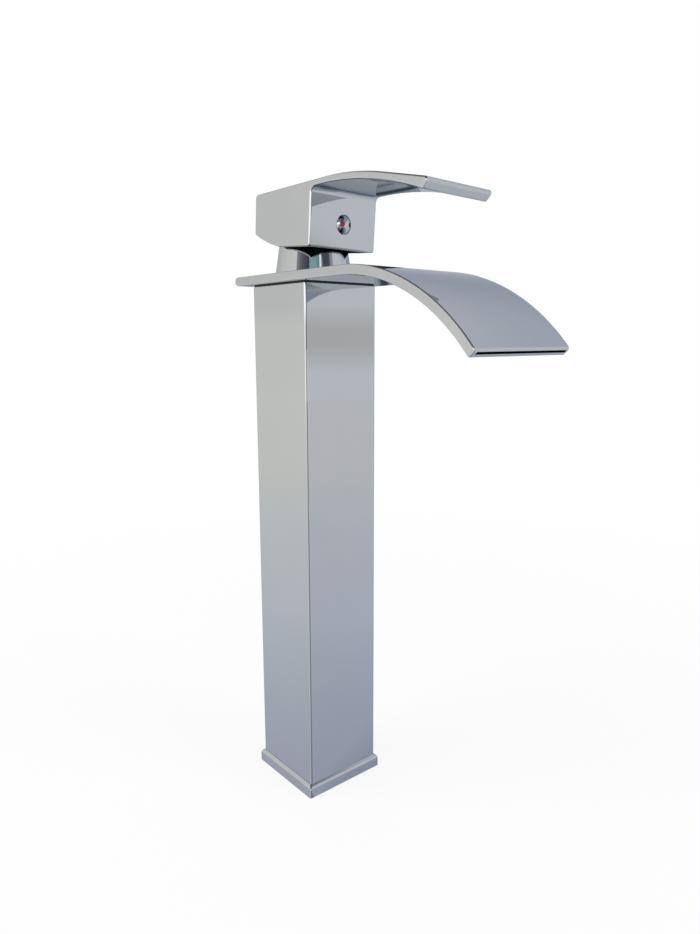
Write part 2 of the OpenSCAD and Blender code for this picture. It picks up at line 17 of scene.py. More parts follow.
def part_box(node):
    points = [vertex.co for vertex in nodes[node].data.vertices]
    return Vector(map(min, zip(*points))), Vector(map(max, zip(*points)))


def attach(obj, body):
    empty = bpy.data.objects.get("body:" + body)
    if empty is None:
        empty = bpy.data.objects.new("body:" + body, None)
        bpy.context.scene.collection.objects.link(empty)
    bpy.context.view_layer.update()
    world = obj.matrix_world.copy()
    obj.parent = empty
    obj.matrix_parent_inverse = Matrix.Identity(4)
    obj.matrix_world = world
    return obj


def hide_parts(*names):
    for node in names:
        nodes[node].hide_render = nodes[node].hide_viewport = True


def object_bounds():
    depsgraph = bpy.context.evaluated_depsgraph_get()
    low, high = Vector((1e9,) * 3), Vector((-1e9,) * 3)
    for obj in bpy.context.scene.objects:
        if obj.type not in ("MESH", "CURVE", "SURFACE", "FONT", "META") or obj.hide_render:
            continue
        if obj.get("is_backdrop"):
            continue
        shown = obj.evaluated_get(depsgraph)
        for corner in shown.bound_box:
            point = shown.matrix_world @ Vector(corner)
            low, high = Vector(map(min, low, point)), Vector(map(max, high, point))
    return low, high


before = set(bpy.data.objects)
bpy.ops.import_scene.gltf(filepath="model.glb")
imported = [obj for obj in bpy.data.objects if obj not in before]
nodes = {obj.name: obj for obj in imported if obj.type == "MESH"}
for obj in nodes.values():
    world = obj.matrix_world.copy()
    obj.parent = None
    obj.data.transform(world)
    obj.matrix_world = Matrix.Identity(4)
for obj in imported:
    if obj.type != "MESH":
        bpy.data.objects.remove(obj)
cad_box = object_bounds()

MM = 0.001
TINY = 0.01 * MM
print("height in mm:", round(cad_box[1].z / MM, 1))

# %% [markdown]
# ## The camera
#
# The camera comes first, because every later choice is judged through it. It could be
# aimed by eye, but a square column gives its edges away: their vanishing points fix the
# direction, and the column's width fixes the distance. The camera stands a little lower
# than the plate, so the undersides of the plate and of the lever show.

# %% Camera
CAMERA_PLACE = Vector((0.30412, -0.22923, 0.24376))
AZIMUTH, LOOK_DOWN, ROLL = (math.radians(a) for a in (50.21, 10.21, -0.16))
SENSOR_W, LENS = 36, 27.5

camera = bpy.data.objects.new("camera", bpy.data.cameras.new("camera"))
bpy.context.scene.collection.objects.link(camera)
camera.data.sensor_width, camera.data.lens = SENSOR_W, LENS
camera.matrix_world = (
    Matrix.Translation(CAMERA_PLACE)
    @ Matrix.Rotation(AZIMUTH, 4, "Z")
    @ Matrix.Rotation(math.pi / 2 - LOOK_DOWN, 4, "X")
    @ Matrix.Rotation(ROLL, 4, "Z")
)
bpy.context.scene.camera = camera
bpy.context.scene.view_settings.view_transform = "Standard"
print("camera to column axis:", round(Vector(CAMERA_PLACE[:2]).length, 3), "m")

# %% [markdown]
# ## Working by hand, in code
#
# Each shell is made the way it would be at the screen: add a primitive, go into edit mode,
# pick faces or edges, and extrude, inset, spin or bevel them. Picking by hand becomes
# picking by place or by direction, so a few small helpers do the picking.


# %% Helpers for edit mode
def only(obj):
    """Makes obj the active object and the only selected one."""
    bpy.ops.object.select_all(action="DESELECT")
    bpy.context.view_layer.objects.active = obj
    obj.select_set(True)
    return obj


def add(primitive, scale=(1, 1, 1), **settings):
    """Adds a primitive by its operator, and applies its place and size."""
    bpy.ops.object.select_all(action="DESELECT")
    primitive(**settings)
    bpy.context.active_object.scale = scale
    bpy.ops.object.transform_apply(location=True, rotation=True, scale=True)
    return bpy.context.active_object


def start(obj):
    """Opens an object in edit mode."""
    only(obj)
    bpy.ops.object.mode_set(mode="EDIT")
    return obj


def stop():
    """Leaves edit mode."""
    bpy.ops.object.mode_set(mode="OBJECT")


def extrude(step):
    """Extrudes what is selected by a step."""
    bpy.ops.mesh.extrude_region_move(TRANSFORM_OT_translate={"value": step})


def middle(part):
    """The middle of a face or an edge."""
    return sum((v.co for v in part.verts), Vector()) / len(part.verts)


def pick(kind, test):
    """Selects the verts, edges or faces in edit mode that pass the test, and counts them."""
    mode = {"verts": "VERT", "edges": "EDGE", "faces": "FACE"}[kind]
    bpy.ops.mesh.select_mode(type=mode)
    bpy.ops.mesh.select_all(action="DESELECT")
    mesh = bmesh.from_edit_mesh(bpy.context.edit_object.data)
    chosen = [part for part in getattr(mesh, kind) if test(part)]
    for part in chosen:
        part.select_set(True)
    mesh.select_flush_mode()
    bmesh.update_edit_mesh(bpy.context.edit_object.data)
    return len(chosen)


def is_sharp(edge, least):
    """True where two faces meet at an angle of at least that many degrees."""
    return len(edge.link_faces) == 2 and edge.calc_face_angle(0) > math.radians(least)


# %% [markdown]
# A section is drawn as one draws it with the extrude key: one point, then the next, and so
# on. A section can then be pushed straight across, which suits the plate and the lever, or
# spun about an axis, which suits the bonnet and the button. Column and foot flange start
# from a square bar instead.


# %% Helpers for sections
def draw_section(name, points):
    """A closed chain of edges through the points, drawn by extruding one vertex."""
    obj = start(add(bpy.ops.mesh.primitive_plane_add, size=MM, location=points[0]))
    obj.name = obj.data.name = name
    bpy.ops.mesh.select_mode(type="VERT")
    bpy.ops.mesh.select_all(action="SELECT")
    bpy.ops.mesh.merge(type="CENTER")
    for here, there in zip(points, points[1:]):
        extrude(Vector(there) - Vector(here))
    pick("verts", lambda v: len(v.link_edges) == 1)
    bpy.ops.mesh.edge_face_add()
    return obj


def push_across(name, points, width, rim=0.0, steps=4):
    """The solid that a section in x and z makes when it is pushed across y.

    The rim of both sides is rounded by insetting the side's face in small, shrinking steps
    while it moves out, so that the steps follow a quarter of a circle.
    """
    flat = width - 2 * rim
    obj = draw_section(name, [(x, -flat / 2, z) for x, z in points])
    bpy.ops.mesh.select_all(action="SELECT")
    bpy.ops.mesh.edge_face_add()
    extrude((0, flat, 0))
    tidy_normals()
    turns = [math.pi / 2 * i / steps for i in range(steps + 1)]
    for side in (-1, 1) if rim else ():
        pick("faces", lambda f: f.normal.y * side > 0.99)
        for a, b in zip(turns, turns[1:]):
            bpy.ops.mesh.inset(thickness=rim * (math.cos(a) - math.cos(b)),
                               depth=rim * (math.sin(b) - math.sin(a)), use_even_offset=True)
    return obj


def round_nose(width, rim, steps, nose, end, ahead, back, deep=2.2 * MM, test=None):
    """Rounds the corners of an end in plan: each row of the rim there moves further back."""
    for i in range(1, steps + 1):
        turn = math.pi / 2 * i / steps
        row = width / 2 - rim + rim * math.sin(turn)
        pick("verts", lambda v: abs(abs(v.co.y) - row) < TINY
             and (v.co.xz - Vector(end)).dot(ahead) > -deep and (test is None or test(v.co.xz)))
        pull = back * (nose - rim) * (1 - math.cos(turn))
        bpy.ops.transform.translate(value=(pull.x, 0, pull.y))


def spin_round(name, points, steps, axis=(0, 0, 1)):
    """The ring that a section makes when it is spun about an axis through the origin."""
    obj = draw_section(name, points)
    bpy.ops.mesh.select_all(action="SELECT")
    bpy.ops.mesh.spin(steps=steps, angle=math.tau, center=(0, 0, 0), axis=axis)
    tidy_normals()
    pick("edges", lambda e: not e.link_faces)
    bpy.ops.mesh.delete(type="EDGE")
    return obj


def tidy_normals():
    """Merges doubled points and turns every face outwards."""
    bpy.ops.mesh.select_all(action="SELECT")
    bpy.ops.mesh.remove_doubles(threshold=0.001 * MM)
    bpy.ops.mesh.normals_make_consistent(inside=False)


def arc(centre, radius, start_angle, end_angle, count):
    """Points on an arc in x and z. Angles are in degrees from +x, turning up to +z."""
    for i in range(count + 1):
        angle = math.radians(start_angle + (end_angle - start_angle) * i / count)
        yield (centre[0] + radius * math.cos(angle), centre[1] + radius * math.sin(angle))


def round_corner(before, corner, after, radius, count=5):
    """Points on the arc that rounds a corner of a section."""
    before, corner, after = (Vector(p) for p in (before, corner, after))
    back, ahead = (before - corner).normalized(), (after - corner).normalized()
    half = back.angle(ahead) / 2
    centre = corner + (back + ahead).normalized() * radius / math.sin(half)
    first = (corner + back * radius / math.tan(half) - centre).normalized()
    last = (corner + ahead * radius / math.tan(half) - centre).normalized()
    return [tuple(centre + first.slerp(last, i / count) * radius) for i in range(count + 1)]


# %% Helpers for finishing a piece
def soften(width, segments, least, where):
    """Rounds the sharp edges at a place of the mesh in edit mode."""
    found = pick("edges", lambda e: is_sharp(e, least) and where(middle(e)))
    bpy.ops.mesh.bevel(offset=width, offset_type="OFFSET", segments=segments, profile=0.5,
                       clamp_overlap=True)
    print("edges rounded:", found)


def add_modifier(obj, kind, **settings):
    """Adds a modifier with its settings and applies it."""
    modifier = only(obj).modifiers.new(kind.lower(), kind)
    for key, value in settings.items():
        setattr(modifier, key, value)
    bpy.ops.object.modifier_apply(modifier=modifier.name)
    return obj


def carve(obj, cutter, operation="DIFFERENCE"):
    """Cuts one object with another, or joins it on, and deletes the other."""
    add_modifier(obj, "BOOLEAN", object=cutter, operation=operation, solver="EXACT")
    bpy.data.objects.remove(cutter)
    return obj


def rod(radius, low, high, axis="Z", sides=64):
    """A round rod between two heights along an axis: a cutter, or the start of a boss."""
    turn = {"Z": (0, 0, 0), "X": (0, math.pi / 2, 0)}[axis]
    low, high = Vector(low), Vector(high)
    return add(bpy.ops.mesh.primitive_cylinder_add, vertices=sides, radius=radius,
               depth=(high - low).length, location=(low + high) / 2, rotation=turn)


def block(low, high):
    """A box between two corners."""
    low, high = Vector(low), Vector(high)
    return add(bpy.ops.mesh.primitive_cube_add, high - low, size=1, location=(low + high) / 2)


def square_bar(half, edge_r, low, high, segments=8):
    """A square bar on the upright axis, open in edit mode, with its upright edges rounded."""
    obj = start(block((-half, -half, low), (half, half, high)))
    pick("edges", lambda e: abs(e.verts[0].co.z - e.verts[1].co.z) > (high - low) / 2)
    bpy.ops.mesh.bevel(offset=edge_r, segments=segments, profile=0.5)
    return obj


def finish_piece(obj, body, node, angle=28):
    """Shades a piece, puts it on its body, hides the part it stands for and prints its size."""
    only(obj)
    bpy.ops.object.shade_smooth_by_angle(angle=math.radians(angle))
    add_modifier(obj, "WEIGHTED_NORMAL", mode="FACE_AREA", weight=100, keep_sharp=True)
    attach(obj, body)
    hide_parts(node)
    size = tuple(round(s / MM, 1) for s in obj.dimensions)
    print(obj.name, "faces:", len(obj.data.polygons), "size in mm:", size)
    return obj


# %% [markdown]
# ## The column
#
# The real column is a square brass tube, drawn, polished and plated. Its upright edges are
# rounded by only a millimetre or so, but that round is what catches the light as one bright
# line. At the top a narrow neck is turned in. Its faces take the black rubber finish, which
# paints the shade in the gap under the plate as a thin dark joint. A bar with rounded edges
# gets the neck, loses its ends, and is given a wall.

# %% Column
COLUMN_EDGE = 1.2 * MM
COLUMN_WALL = 2.5 * MM
PLATING = 0.2 * MM
NECK_H, NECK_IN = 0.6 * MM, 0.5 * MM

low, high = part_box("column_shell")
half = high.x + PLATING
column_top = high.z
column = square_bar(half, COLUMN_EDGE, low.z, column_top - NECK_H)
column.name = column.data.name = "column"
pick("faces", lambda f: f.normal.z > 0.9)
bpy.ops.mesh.inset(thickness=NECK_IN, depth=0, use_even_offset=True)
extrude((0, 0, NECK_H))
pick("faces", lambda f: abs(f.normal.z) > 0.9 and len(f.verts) > 4)
bpy.ops.mesh.delete(type="FACE")
stop()
add_modifier(column, "SOLIDIFY", thickness=COLUMN_WALL, offset=-1, use_even_offset=True)
# The neck's faces are noted for black rubber: painted shade of the joint under the plate.
neck_faces = [f.index for f in column.data.polygons if f.center.z > column_top - 0.9 * NECK_H]
finish_piece(column, "body", "column_shell")

# %% [markdown]
# ## The foot flange
#
# The flange hides the hole in the deck. It is a low square with upright sides and a top
# that rolls over to the column in one round. It is built up like a stepped pyramid: the top
# face is extruded and scaled, step by step, along that round. Scaling keeps the small
# radius of the corners all the way up. The socket of the column, the hole and the groove
# for the gasket are cut out of it, so the piece is right from below too.

# %% Foot flange
FLANGE_CORNER = 0.9 * MM
ROLL_START, ROLL_END, ROLL_STEPS = math.radians(80), math.radians(20), 9
LEDGE = 2 * MM
GROOVE_W = 1.6 * MM

low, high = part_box("base_flange")
foot_half, foot_h = high.x + PLATING, high.z
inner = half - COLUMN_WALL
gasket_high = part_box("base_gasket")[1]
groove_out = gasket_high.x
roll_r = (foot_half - half) / (math.sin(ROLL_START) - math.sin(ROLL_END))
roll_at = (half - roll_r * math.sin(ROLL_END), foot_h - roll_r * math.cos(ROLL_END))
roll = list(arc(roll_at, roll_r, 90 - math.degrees(ROLL_START), 90 - math.degrees(ROLL_END),
                ROLL_STEPS))
print("radius of the flange's rolled top in mm:", round(roll_r / MM, 2))

flange = square_bar(foot_half, FLANGE_CORNER, 0, roll[0][1], 6)
flange.name = flange.data.name = "foot_flange"
pick("faces", lambda f: f.normal.z > 0.9)
reach, height = foot_half, roll[0][1]
for r, z in roll:
    if z > height:
        extrude((0, 0, z - height))
    bpy.ops.transform.resize(value=(r / reach, r / reach, 1), center_override=(0, 0, z))
    reach, height = r, z
stop()
socket = square_bar(half, COLUMN_EDGE, LEDGE, foot_h + MM)
stop()
hole = block((-inner, -inner, -MM), (inner, inner, LEDGE + MM))
groove = block((-groove_out, -groove_out, -MM), (groove_out, groove_out, gasket_high.z))
core = groove_out - GROOVE_W
carve(groove, block((-core, -core, -2 * MM), (core, core, foot_h)))
for cutter in (socket, hole, groove):
    carve(flange, cutter)
finish_piece(flange, "body", "base_flange")

# %% [markdown]
# ## The waterfall plate
#
# The plate is one hollow casting: flat over the column, then an arch of even thickness
# that ends in a lip. The water comes out of a wide slit in that lip, close under its top
# edge. Plate and channel follow the same arch, so both are pushed across from sections that
# share their numbers, and one is cut out of the other.

# %% Waterfall plate
PLATE_T = 4.4 * MM
PLATE_WALL = 0.95 * MM
CHANNEL_H = 1.4 * MM
SIDE_WALL = 1.9 * MM
PLATE_EDGE, EDGE_STEPS = 0.7 * MM, 4
LIP_ROUND, LIP_LOW_ROUND, LIP_BACK = 1.4 * MM, 0.77 * MM, 2 * MM
NOSE = 2.4 * MM
FLAT_END = 58 * MM
ARCH_R = 100.3 * MM
ARCH_SWEEP, CUT_SWEEP = 49.9, 51.9
ARCH_STEPS = 24
HOLE_R = 18.4 * MM
RISER_R = 2.1 * MM
RISER_AT = 15.65 * MM

low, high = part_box("waterfall_spout")
plate_w = high.y - low.y
plate_rear = low.x
plate_low = column_top
plate_high = column_top + PLATE_T
arch_centre = (FLAT_END, plate_high - ARCH_R)


def arch_points(radius, sweep, steps, from_top):
    """Points down the arch from its top, or up the arch to it."""
    ends = (90, 90 - sweep) if from_top else (90 - sweep, 90)
    return list(arc(arch_centre, radius, *ends, steps))


def lip_point(radius, back=0.0):
    """A point at a radius of the arch, a little back from the end of the lip."""
    angle = math.radians(90 - ARCH_SWEEP) + back / radius
    return (arch_centre[0] + radius * math.cos(angle), arch_centre[1] + radius * math.sin(angle))


rear_centre = (plate_rear + PLATE_T / 2, plate_low + PLATE_T / 2)
lip_top, lip_low = lip_point(ARCH_R), lip_point(ARCH_R - PLATE_T)
section = (
    list(arc(rear_centre, PLATE_T / 2, 270, 90, 12))
    + arch_points(ARCH_R, ARCH_SWEEP, ARCH_STEPS, True)[:-1]
    + round_corner(lip_point(ARCH_R, LIP_BACK), lip_top, lip_low, LIP_ROUND)
    + round_corner(lip_top, lip_low, lip_point(ARCH_R - PLATE_T, LIP_BACK), LIP_LOW_ROUND)
    + arch_points(ARCH_R - PLATE_T, ARCH_SWEEP, ARCH_STEPS, False)[1:]
)
plate = push_across("waterfall_plate", section, plate_w, PLATE_EDGE, EDGE_STEPS)
ahead = Vector((lip_top[1] - arch_centre[1], arch_centre[0] - lip_top[0])).normalized()
round_nose(plate_w, PLATE_EDGE, EDGE_STEPS, NOSE, lip_top, ahead, -ahead)
stop()

# %% Channel and holes of the plate
channel_arc = arch_points(ARCH_R - PLATE_WALL, CUT_SWEEP, ARCH_STEPS, True)
channel_back = arch_points(ARCH_R - PLATE_WALL - CHANNEL_H, CUT_SWEEP, ARCH_STEPS, False)
channel_start = -(RISER_AT + RISER_R + PLATE_WALL)
channel = push_across(
    "channel",
    [(channel_start, plate_high - PLATE_WALL - CHANNEL_H),
     (channel_start, plate_high - PLATE_WALL)]
    + channel_arc + channel_back,
    plate_w - 2 * SIDE_WALL,
)
stop()
collar = rod(HOLE_R + PLATE_WALL, (0, 0, plate_low - MM), (0, 0, plate_high + MM))
carve(channel, collar)
carve(plate, channel)
carve(plate, rod(HOLE_R, (0, 0, plate_low - MM), (0, 0, plate_high + MM)))
for side in (-1, 1):
    at = Vector((-RISER_AT, side * RISER_AT, plate_low))
    carve(plate, rod(RISER_R, at - Vector((0, 0, MM)), at + Vector((0, 0, PLATE_T / 2 + MM / 2)),
                     sides=24))
finish_piece(plate, "body", "waterfall_spout")

# %% [markdown]
# ## The bonnet
#
# The bonnet is turned: a plain cone that leans in by eight and a half degrees, with a small
# shoulder hidden in the lever and a hole for the stem. It screws over the retaining nut.
# The lean matters more than it seems, because it turns the reflection up into the dark
# hollow of the lever.

# %% Bonnet
BONNET_R, BONNET_H = 19.7 * MM, 17.5 * MM
LEAN = math.radians(8.5)
BONNET_WALL = 1.5 * MM
BONNET_HOLE, HOLE_ROUND = 10.5 * MM, 0.2 * MM
THREAD_R, THREAD_H = 17.25 * MM, 4 * MM
MID_H, FOOT_ROUND, SHOULDER_R = 9 * MM, 0.25 * MM, 3 * MM
BONNET_SIDES = 128


def on_cone(z, depth=0.0):
    """A place on the cone's section at a height, or that deep below its skin."""
    return (BONNET_R - z * math.tan(LEAN) - depth / math.cos(LEAN), z)


inner_top = BONNET_H - BONNET_WALL
section = (
    [(THREAD_R, 0)]
    + round_corner((THREAD_R, 0), on_cone(0), on_cone(MID_H), FOOT_ROUND, 3)
    + round_corner(on_cone(MID_H), on_cone(BONNET_H), (BONNET_HOLE, BONNET_H), SHOULDER_R, 8)
    + [(BONNET_HOLE, BONNET_H), (BONNET_HOLE, inner_top)]
    + round_corner((BONNET_HOLE, inner_top), on_cone(inner_top, BONNET_WALL),
                   on_cone(MID_H, BONNET_WALL), SHOULDER_R - BONNET_WALL, 5)
    + [on_cone(THREAD_H, BONNET_WALL), (THREAD_R, THREAD_H)]
)
bonnet = spin_round("bonnet_cup", [(r, 0, plate_high + z) for r, z in section], BONNET_SIDES)
soften(HOLE_ROUND, 2, 40, lambda p: p.z > plate_high + inner_top + MM)
stop()
finish_piece(bonnet, "body", "bonnet")

# %% [markdown]
# ## The lever
#
# Head and blade are one casting. From the side it is a single sweep: the top rises
# straight to a round crest over the blade's root and runs down straight to the tip, and
# behind, the bottom of the head is cut back in a curve so that the lever can lift. The
# section is drawn with the pivot at the origin, pushed across with rounded rims, hollowed
# from below and only then tilted into place.

# %% Lever profile
PIVOT = Vector((0, 0, 284 * MM))
REST_TURN, REST_DROOP = math.radians(3), math.radians(4.2)
LEVER_W = 43.3 * MM
HEAD_FRONT, HEAD_BACK, HEAD_BOTTOM = 22.2 * MM, 21.6 * MM, 4.3 * MM
HEAD_WALL, HOLLOW_H = 2.2 * MM, 26 * MM
RELIEF_X, RELIEF_H, RELIEF_R = -1.3 * MM, 6.4 * MM, 72 * MM
REACH, CREST_X, CREST_H, CREST_R = 94.8 * MM, 45.3 * MM, 35.15 * MM, 150 * MM
TOP_RISE, TOP_FALL, BLADE_T = 0.0885, 0.15, 3.2 * MM
UNDER_R, UNDER_X, ROOT_R = 172 * MM, 42 * MM, 2.6 * MM
UNDERCUT = math.radians(40)
LEVER_EDGE, LEVER_EDGE_STEPS = 1.0 * MM, 5
REAR_R, TIP_ROUND, CORNER_R = 1.8 * MM, 1.5 * MM, 1.1 * MM
TOP_STEPS, TOP_AHEAD, TOP_BEHIND = 36, 5 * MM, 3 * MM
UNDER_STEPS, UNDER_AHEAD = 22, 3.4 * MM


def on_top(x):
    """Height of the lever's top: a straight rise, a round crest and a straight fall."""
    start_x = CREST_X - TOP_RISE * CREST_R
    end_x = CREST_X + TOP_FALL * CREST_R
    bend = min(max(x, start_x), end_x)
    height = CREST_H - (bend - CREST_X) ** 2 / (2 * CREST_R)
    return height + (TOP_RISE if x < start_x else -TOP_FALL) * (x - bend)


def on_under(x):
    """Height of the blade's underside."""
    return CREST_H - BLADE_T - UNDER_R + math.sqrt(UNDER_R ** 2 - (x - UNDER_X) ** 2)


def relief_points(count):
    """The curved cut-back behind the head, from its front end to the back."""
    first, last = Vector((RELIEF_X, HEAD_BOTTOM)), Vector((-HEAD_BACK, HEAD_BOTTOM + RELIEF_H))
    chord = last - first
    normal = Vector((chord.y, -chord.x)).normalized()
    centre = (first + last) / 2 + normal * math.sqrt(RELIEF_R ** 2 - (chord.length / 2) ** 2)
    ends = [math.degrees(math.atan2(*(p - centre).yx)) for p in (first, last)]
    return list(arc(centre, RELIEF_R, *ends, count))


fillet_x = HEAD_FRONT + ROOT_R
fillet_z = CREST_H - BLADE_T - UNDER_R + math.sqrt(
    (UNDER_R - ROOT_R) ** 2 - (fillet_x - UNDER_X) ** 2)
under_centre = Vector((UNDER_X, CREST_H - BLADE_T - UNDER_R))
touch = math.degrees(math.atan2(fillet_z - under_centre.y, fillet_x - under_centre.x))
tip_z = on_top(REACH)


def cut_depth(x):
    """How far the underside at x still is from the sloping end of the tip."""
    return on_under(x) - (tip_z - (REACH - x) / math.tan(UNDERCUT))


near, far = REACH - 15 * MM, REACH
for _ in range(50):
    half_way = (near + far) / 2
    near, far = (half_way, far) if cut_depth(half_way) > 0 else (near, half_way)
under_end = near
print("blade's underside ends", round((REACH - under_end) / MM, 2), "mm before the tip")

# %% Lever section
top_run = REACH + HEAD_BACK - TOP_AHEAD - TOP_BEHIND
top_xs = [REACH - TOP_AHEAD - top_run * i / TOP_STEPS for i in range(TOP_STEPS + 1)]
under_run = under_end - UNDER_AHEAD - fillet_x
under_xs = [fillet_x + under_run * i / UNDER_STEPS for i in range(1, UNDER_STEPS + 1)]
relief = relief_points(10)[::-1]
tip, tip_low = (REACH, tip_z), (under_end, on_under(under_end))
rear_top = (-HEAD_BACK, on_top(-HEAD_BACK))
section = (
    round_corner(rear_top, relief[0], relief[1], CORNER_R)
    + relief[1:]
    + round_corner((0, HEAD_BOTTOM), (HEAD_FRONT, HEAD_BOTTOM), (HEAD_FRONT, HOLLOW_H), CORNER_R)
    + list(arc((fillet_x, fillet_z), ROOT_R, 180, touch, 8))
    + [(x, on_under(x)) for x in under_xs]
    + round_corner((under_xs[-1], on_under(under_xs[-1])), tip_low, tip, CORNER_R)
    + round_corner(tip_low, tip, (top_xs[0], on_top(top_xs[0])), TIP_ROUND)
    + [(x, on_top(x)) for x in top_xs]
    + round_corner((0, on_top(0)), rear_top, relief[0], REAR_R, 6)
)
lever = push_across("lever", section, LEVER_W, LEVER_EDGE, LEVER_EDGE_STEPS)
down = (Vector(tip_low) - Vector(tip)) / 2
ahead = Vector((math.cos(UNDERCUT), -math.sin(UNDERCUT)))
for is_upper, slope in ((True, -TOP_FALL), (False, (UNDER_X - under_end) / UNDER_R)):
    round_nose(LEVER_W, LEVER_EDGE, LEVER_EDGE_STEPS, NOSE, tip, ahead, Vector((-1, -slope)),
               3 * MM, lambda p: ((p - Vector(tip)).dot(down) < down.dot(down)) == is_upper)
print("points in the lever's section:", len(section))

# %% [markdown]
# The hollow is pushed up from below: the bottom faces are inset by the wall, extruded up,
# and flattened to one ceiling. The blade stays solid.


# %% Lever hollow
def is_bottom(face):
    """A face of the head's underside, flat or cut back, but not of its rounded rims."""
    p = middle(face)
    return (face.normal.z < -0.8 and abs(p.y) < MM and p.z < HOLLOW_H / 2
            and -HEAD_BACK + CORNER_R < p.x < HEAD_FRONT - CORNER_R)


print("bottom faces:", pick("faces", is_bottom))
bpy.ops.mesh.inset(thickness=HEAD_WALL - LEVER_EDGE, depth=0, use_even_offset=True)
extrude((0, 0, HOLLOW_H / 2))
bpy.ops.transform.resize(value=(1, 1, 0), center_override=(0, 0, HOLLOW_H))
stop()

# %% [markdown]
# Inside hang the boss that grips the stem and the tunnel of the set screw. The head's
# front gets the hole of the screw and the shallow seat of the button.

# %% Boss, tunnel and seats of the lever
BOSS_R, BOSS_LOW = 6.5 * MM, 13 * MM
BUTTON_H, BUTTON_R, BUTTON_RISE = 16 * MM, 4.6 * MM, 2.1 * MM
SEAT_D, SEAT_GAP = 0.8 * MM, 0.12 * MM
SCREW_R, TUNNEL_R = 2.45 * MM, 3.8 * MM
STEM_HALF, STEM_TOP = 3.55 * MM, 24.3 * MM

carve(lever, rod(BOSS_R, (0, 0, BOSS_LOW), (0, 0, HOLLOW_H + MM)), "UNION")
carve(lever, rod(TUNNEL_R, (0, 0, BUTTON_H), (HEAD_FRONT - HEAD_WALL / 2, 0, BUTTON_H), "X"),
      "UNION")
carve(lever, block((-STEM_HALF, -STEM_HALF, 0), (STEM_HALF, STEM_HALF, STEM_TOP)))
carve(lever, rod(SCREW_R, (0, 0, BUTTON_H), (HEAD_FRONT + MM, 0, BUTTON_H), "X", 48))
carve(lever, rod(BUTTON_R + SEAT_GAP, (HEAD_FRONT - SEAT_D, 0, BUTTON_H),
                 (HEAD_FRONT + MM, 0, BUTTON_H), "X", 96))


# %% Tilt the lever into place
def place_on_lever(obj):
    """Moves a piece from the lever's own axes to its resting place, and applies it."""
    only(obj).matrix_world = (Matrix.Translation(PIVOT) @ Matrix.Rotation(REST_TURN, 4, "Z")
                              @ Matrix.Rotation(REST_DROOP, 4, "Y"))
    bpy.ops.object.transform_apply(location=True, rotation=True, scale=True)
    return obj


def in_hollow(face, play=0.1 * MM):
    """True for faces of the bare casting under the head."""
    p = face.center
    return (abs(p.y) < LEVER_W / 2 - HEAD_WALL + play and p.z < HOLLOW_H + play
            and -HEAD_BACK + HEAD_WALL - play < p.x < HEAD_FRONT - HEAD_WALL + play
            and not (face.normal.z < -0.9 and p.z < HEAD_BOTTOM + play))


hollow_faces = [face.index for face in lever.data.polygons if in_hollow(face)]
place_on_lever(lever)
finish_piece(lever, "lever", "lever_handle", 24)
print("faces of the hollow:", len(hollow_faces))

# %% [markdown]
# ## The button and its two dots
#
# A small domed button hides the set screw and shows which way is hot. It is turned, so
# its section is spun about the x axis. Two round pockets hold the enamel dots.

# %% Button
STUD_R, STUD_END, BUTTON_EDGE = 2.4 * MM, -5 * MM, 0.12 * MM
MARK_R, MARK_START, MARK_PLAY, CROWN_H = 1.1 * MM, 0.3 * MM, 0.05 * MM, 0.25 * MM
MARK_AT = {"hot_dot": -2.35 * MM, "cold_dot": 2.5 * MM}

dome_r = (BUTTON_R ** 2 + BUTTON_RISE ** 2) / (2 * BUTTON_RISE)
dome_half = math.degrees(math.asin(BUTTON_R / dome_r))
dome_centre = (BUTTON_RISE - dome_r, 0)
section = list(arc(dome_centre, dome_r, 0, dome_half, 14)) + [
    (-SEAT_D, BUTTON_R), (-SEAT_D, STUD_R), (STUD_END, STUD_R), (STUD_END, 0)]
button = spin_round("button", [(HEAD_FRONT + x, 0, r) for x, r in section], 96, (1, 0, 0))
soften(BUTTON_EDGE, 2, 40,
       lambda p: p.x > HEAD_FRONT - MM and math.hypot(p.y, p.z) > (STUD_R + BUTTON_R) / 2)
bpy.ops.mesh.select_all(action="SELECT")
bpy.ops.transform.translate(value=(0, 0, BUTTON_H))
stop()
for mark_y in MARK_AT.values():
    at = Vector((HEAD_FRONT + MARK_START, mark_y, BUTTON_H))
    carve(button, rod(MARK_R + MARK_PLAY, at, at + Vector((BUTTON_RISE, 0, 0)), "X", 40))
place_on_lever(button)
finish_piece(button, "lever", "index_button")


# %% Enamel dots
def enamel_dot(name, node):
    """A drop of enamel in its pocket, a little crowned, level with the dome round it."""
    mark_y = MARK_AT[name]
    base = HEAD_FRONT + MARK_START
    crown = HEAD_FRONT + dome_centre[0] + math.sqrt(dome_r ** 2 - mark_y ** 2)
    rim = crown - CROWN_H
    section = [(crown, 0), (crown - 0.12 * CROWN_H, 0.5 * MARK_R),
               (crown - 0.4 * CROWN_H, 0.8 * MARK_R), (rim, MARK_R), (base, MARK_R), (base, 0)]
    dot = spin_round(name, [(x, 0, r) for x, r in section], 40, (1, 0, 0))
    pick("verts", lambda v: v.co.x > rim - TINY)
    # The crown leans with the dome. This operator turns the other way round, hence the minus.
    bpy.ops.transform.rotate(value=-math.asin(mark_y / dome_r), orient_axis="Z",
                             center_override=(rim, 0, 0))
    bpy.ops.mesh.select_all(action="SELECT")
    bpy.ops.transform.translate(value=(0, mark_y, BUTTON_H))
    stop()
    place_on_lever(dot)
    return finish_piece(dot, "lever", node, 50)


hot_dot = enamel_dot("hot_dot", "hot_mark")
cold_dot = enamel_dot("cold_dot", "cold_mark")

# %% [markdown]
# ## Finishes
#
# A finish is a small network of nodes. Written as sums it stays readable. A wire is one
# socket's value, and adding or multiplying two wires adds the node that does it. Patterns
# read Object coordinates, in metres, so they have real sizes and ride with their piece.


